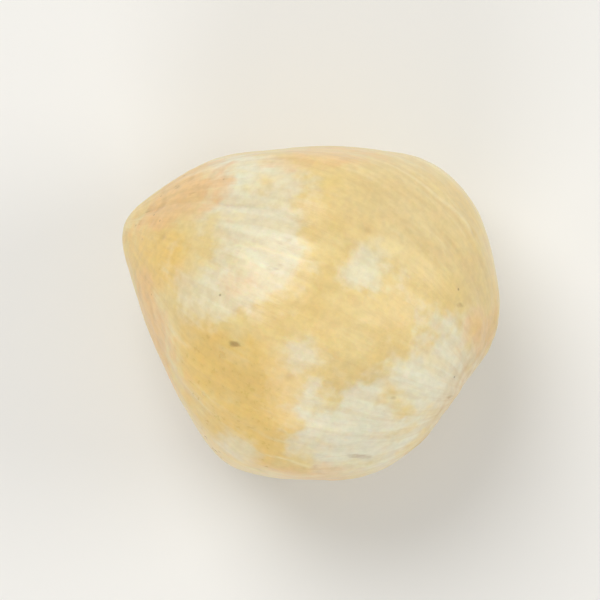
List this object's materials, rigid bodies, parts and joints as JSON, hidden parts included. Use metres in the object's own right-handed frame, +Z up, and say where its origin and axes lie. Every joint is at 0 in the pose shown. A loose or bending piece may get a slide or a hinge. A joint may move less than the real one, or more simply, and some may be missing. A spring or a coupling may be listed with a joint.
{
  "type": "blanched hazelnut",
  "caption": "Whole blanched hazelnut kernel with a blunt tip, soft flats, low ribs and a puckered base, lying on its side.",
  "frame": {"origin": "on the surface that the kernel rests on, below the middle of its bounding box", "axes": "+X from the base towards the tip, +Y to the left of the tip seen from above, +Z up"},
  "size_m": [0.0146, 0.0138, 0.0128],
  "materials": {
    "kernel": "waxy cream, satin, with honey and pale patches"
  },
  "bodies": {
    "root": {"kernel": "kernel"}
  },
  "joints": []
}
